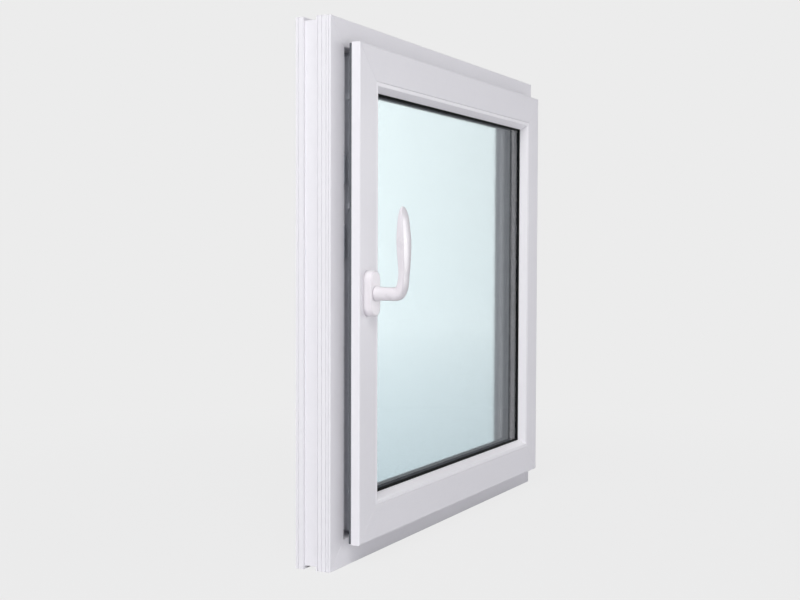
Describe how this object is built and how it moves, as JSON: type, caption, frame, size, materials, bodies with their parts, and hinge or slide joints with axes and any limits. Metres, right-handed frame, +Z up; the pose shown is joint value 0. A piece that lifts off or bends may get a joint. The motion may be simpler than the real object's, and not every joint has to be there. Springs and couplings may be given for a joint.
{
  "type": "parallel opening window",
  "caption": "Square white plastic window with double glazing, its sash parked parallel off the frame on corner bearings, with a lever handle turned up.",
  "frame": {"origin": "middle of the flat foot under the sill, 19 mm from the frame's room face", "axes": "+X to the right seen from the room, +Y from the room to the outdoors, +Z up"},
  "size_m": [0.83, 0.1617, 0.83],
  "materials": {
    "frame_pvc": "smooth white rigid plastic",
    "sash_pvc": "smooth white rigid plastic",
    "bead_pvc": "smooth white rigid plastic",
    "inner_glass": "clear float glass",
    "outer_glass": "pale float glass",
    "seal_rubber": "matt black seal",
    "gasket_rubber": "matt black gasket",
    "spacer_aluminium": "dark anodised",
    "zinc_casting": "zinc plated casting",
    "plated_steel": "zinc plated steel",
    "handle_lacquer": "white lacquer on cast metal",
    "cap_plastic": "moulded white plastic"
  },
  "bodies": {
    "frame": {"frame_left_jamb": "frame_pvc", "frame_right_jamb": "frame_pvc", "frame_head": "frame_pvc", "frame_sill": "frame_pvc", "frame_seal": "seal_rubber", "left_keeps": "zinc_casting", "right_keeps": "zinc_casting", "head_keeps": "zinc_casting", "sill_keeps": "zinc_casting", "corner_bearings": "zinc_casting", "drain_caps": "cap_plastic"},
    "sash": {"sash_left_stile": "sash_pvc", "sash_right_stile": "sash_pvc", "sash_top_rail": "sash_pvc", "sash_bottom_rail": "sash_pvc", "bead_left": "bead_pvc", "bead_right": "bead_pvc", "bead_top": "bead_pvc", "bead_bottom": "bead_pvc", "inner_pane": "inner_glass", "outer_pane": "outer_glass", "pane_spacer": "spacer_aluminium", "inner_glazing_gasket": "gasket_rubber", "outer_glazing_gasket": "gasket_rubber", "sash_seal": "seal_rubber", "lock_rail_left": "plated_steel", "lock_rail_right": "plated_steel", "lock_rail_top": "plated_steel", "lock_rail_bottom": "plated_steel", "locking_cams": "plated_steel", "guide_pins": "plated_steel", "handle_rosette": "handle_lacquer"},
    "handle": {"handle_lever": "handle_lacquer", "handle_spindle": "plated_steel"}
  },
  "joints": [
    {"name": "sash_parallel", "type": "slide", "parent": "frame", "child": "sash", "axis": [0, 1, 0], "range_m": [0, 0.01]},
    {"name": "handle_turn", "type": "hinge", "parent": "sash", "child": "handle", "pos_m": [-0.3525, -0.049, 0.4174], "axis": [0, 1, 0], "range_deg": [0, 180]}
  ],
  "couplings": [
    {"joint": "handle_turn", "follows": "sash_parallel", "rad_per_m": 314.15}
  ]
}
